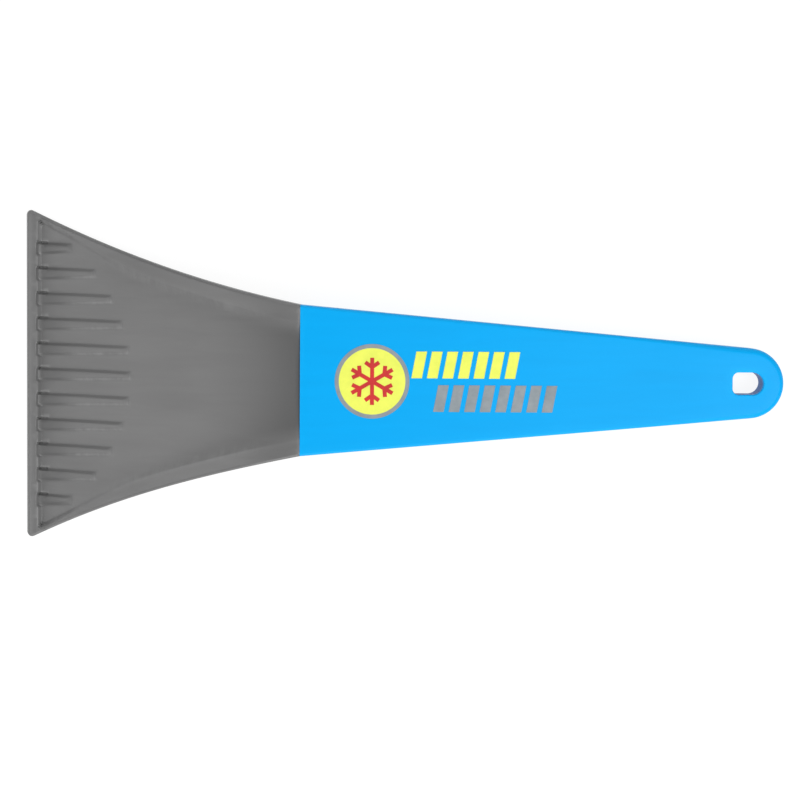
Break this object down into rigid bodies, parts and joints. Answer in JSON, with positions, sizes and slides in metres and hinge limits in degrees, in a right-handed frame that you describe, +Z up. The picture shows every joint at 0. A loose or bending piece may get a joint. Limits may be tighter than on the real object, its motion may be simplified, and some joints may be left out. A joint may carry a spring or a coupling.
{
  "type": "windshield ice scraper",
  "caption": "Hand ice scraper: a flared scoop head with a raised scraping lip and ribs behind it, plugged into a tapered hollow handle with a hanging slot.",
  "frame": {"origin": "bottom centre of the box around the scraper as it lies on a table, on its blade edge and its handle's tip", "axes": "+X from the blade towards the handle's hanging end, +Z up, +Y to the left of someone looking along +X"},
  "size_m": [0.251, 0.1102, 0.0222],
  "materials": {
    "head_plastic": "satin injection-moulded grey plastic",
    "handle_plastic": "satin injection-moulded bright blue plastic",
    "ink_yellow": "printed ink",
    "ink_grey": "printed ink",
    "ink_red": "printed ink"
  },
  "bodies": {
    "root": {"scraper_head": "head_plastic", "handle_sleeve": "handle_plastic", "ink_yellow": "ink_yellow", "ink_grey": "ink_grey", "ink_red": "ink_red"}
  },
  "joints": []
}
